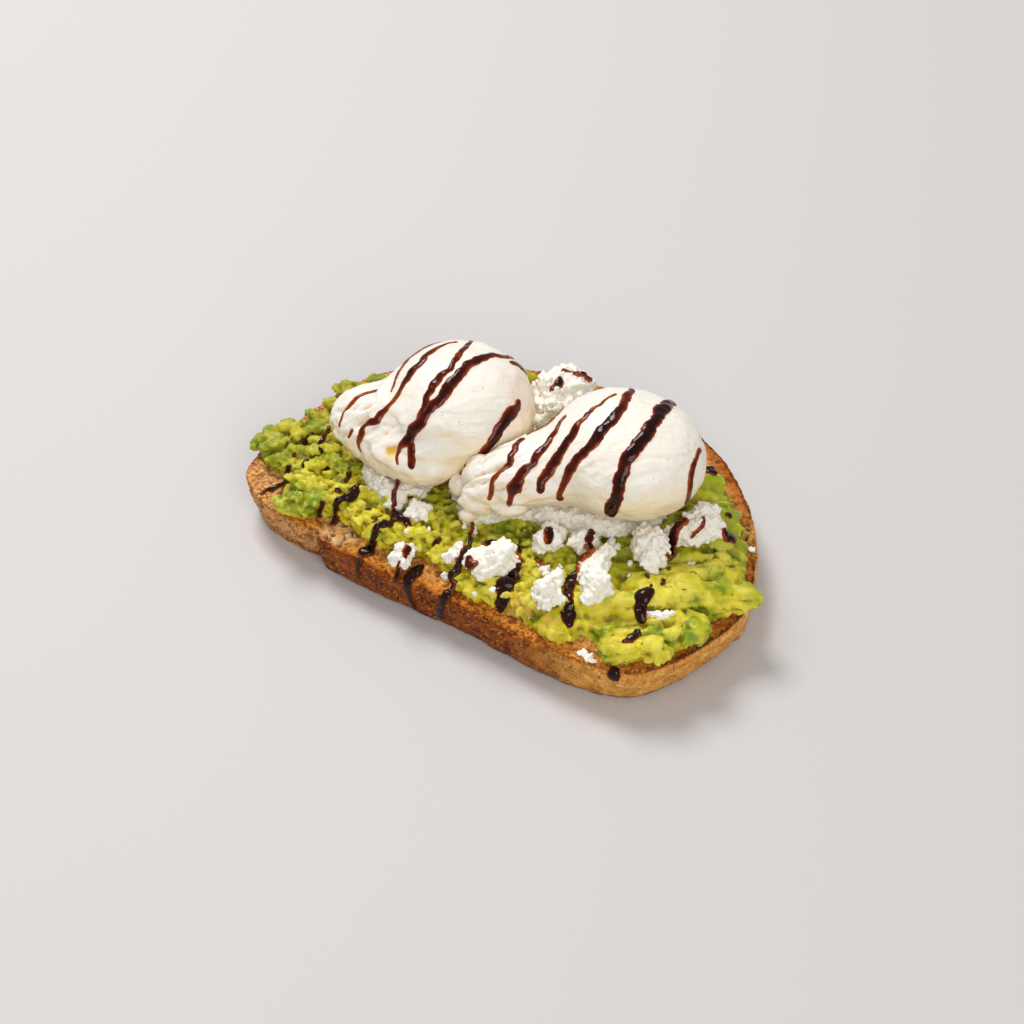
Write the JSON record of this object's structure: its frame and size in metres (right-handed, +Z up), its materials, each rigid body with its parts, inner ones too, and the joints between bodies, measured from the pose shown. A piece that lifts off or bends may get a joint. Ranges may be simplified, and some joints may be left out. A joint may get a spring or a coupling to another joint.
{
  "type": "avocado toast",
  "caption": "Slice of toasted sourdough spread with mashed avocado, topped with poached eggs, crumbled feta and a dark balsamic drizzle.",
  "frame": {"origin": "bottom centre of the whole toast's bounding box", "axes": "+X along the slice from its left end to its right end, +Y from the straight front crust to the domed back crust, +Z up"},
  "size_m": [0.166, 0.1124, 0.0585],
  "materials": {
    "crust": "matte toasted bread crust",
    "avocado": "moist mashed avocado",
    "egg_white": "satin poached egg white",
    "feta": "matte crumbly curd",
    "glaze": "glossy balsamic glaze"
  },
  "bodies": {
    "root": {"toast": "crust", "avocado": "avocado", "egg_left": "egg_white", "egg_right": "egg_white", "feta_bed_left": "feta", "feta_bed_right": "feta", "feta_bed_back": "feta", "feta_crumb_01": "feta", "feta_crumb_02": "feta", "feta_crumb_03": "feta", "feta_crumb_04": "feta", "feta_crumb_05": "feta", "feta_crumb_06": "feta", "feta_crumb_07": "feta", "feta_crumb_08": "feta", "feta_crumb_09": "feta", "feta_crumb_10": "feta"}
  },
  "joints": []
}
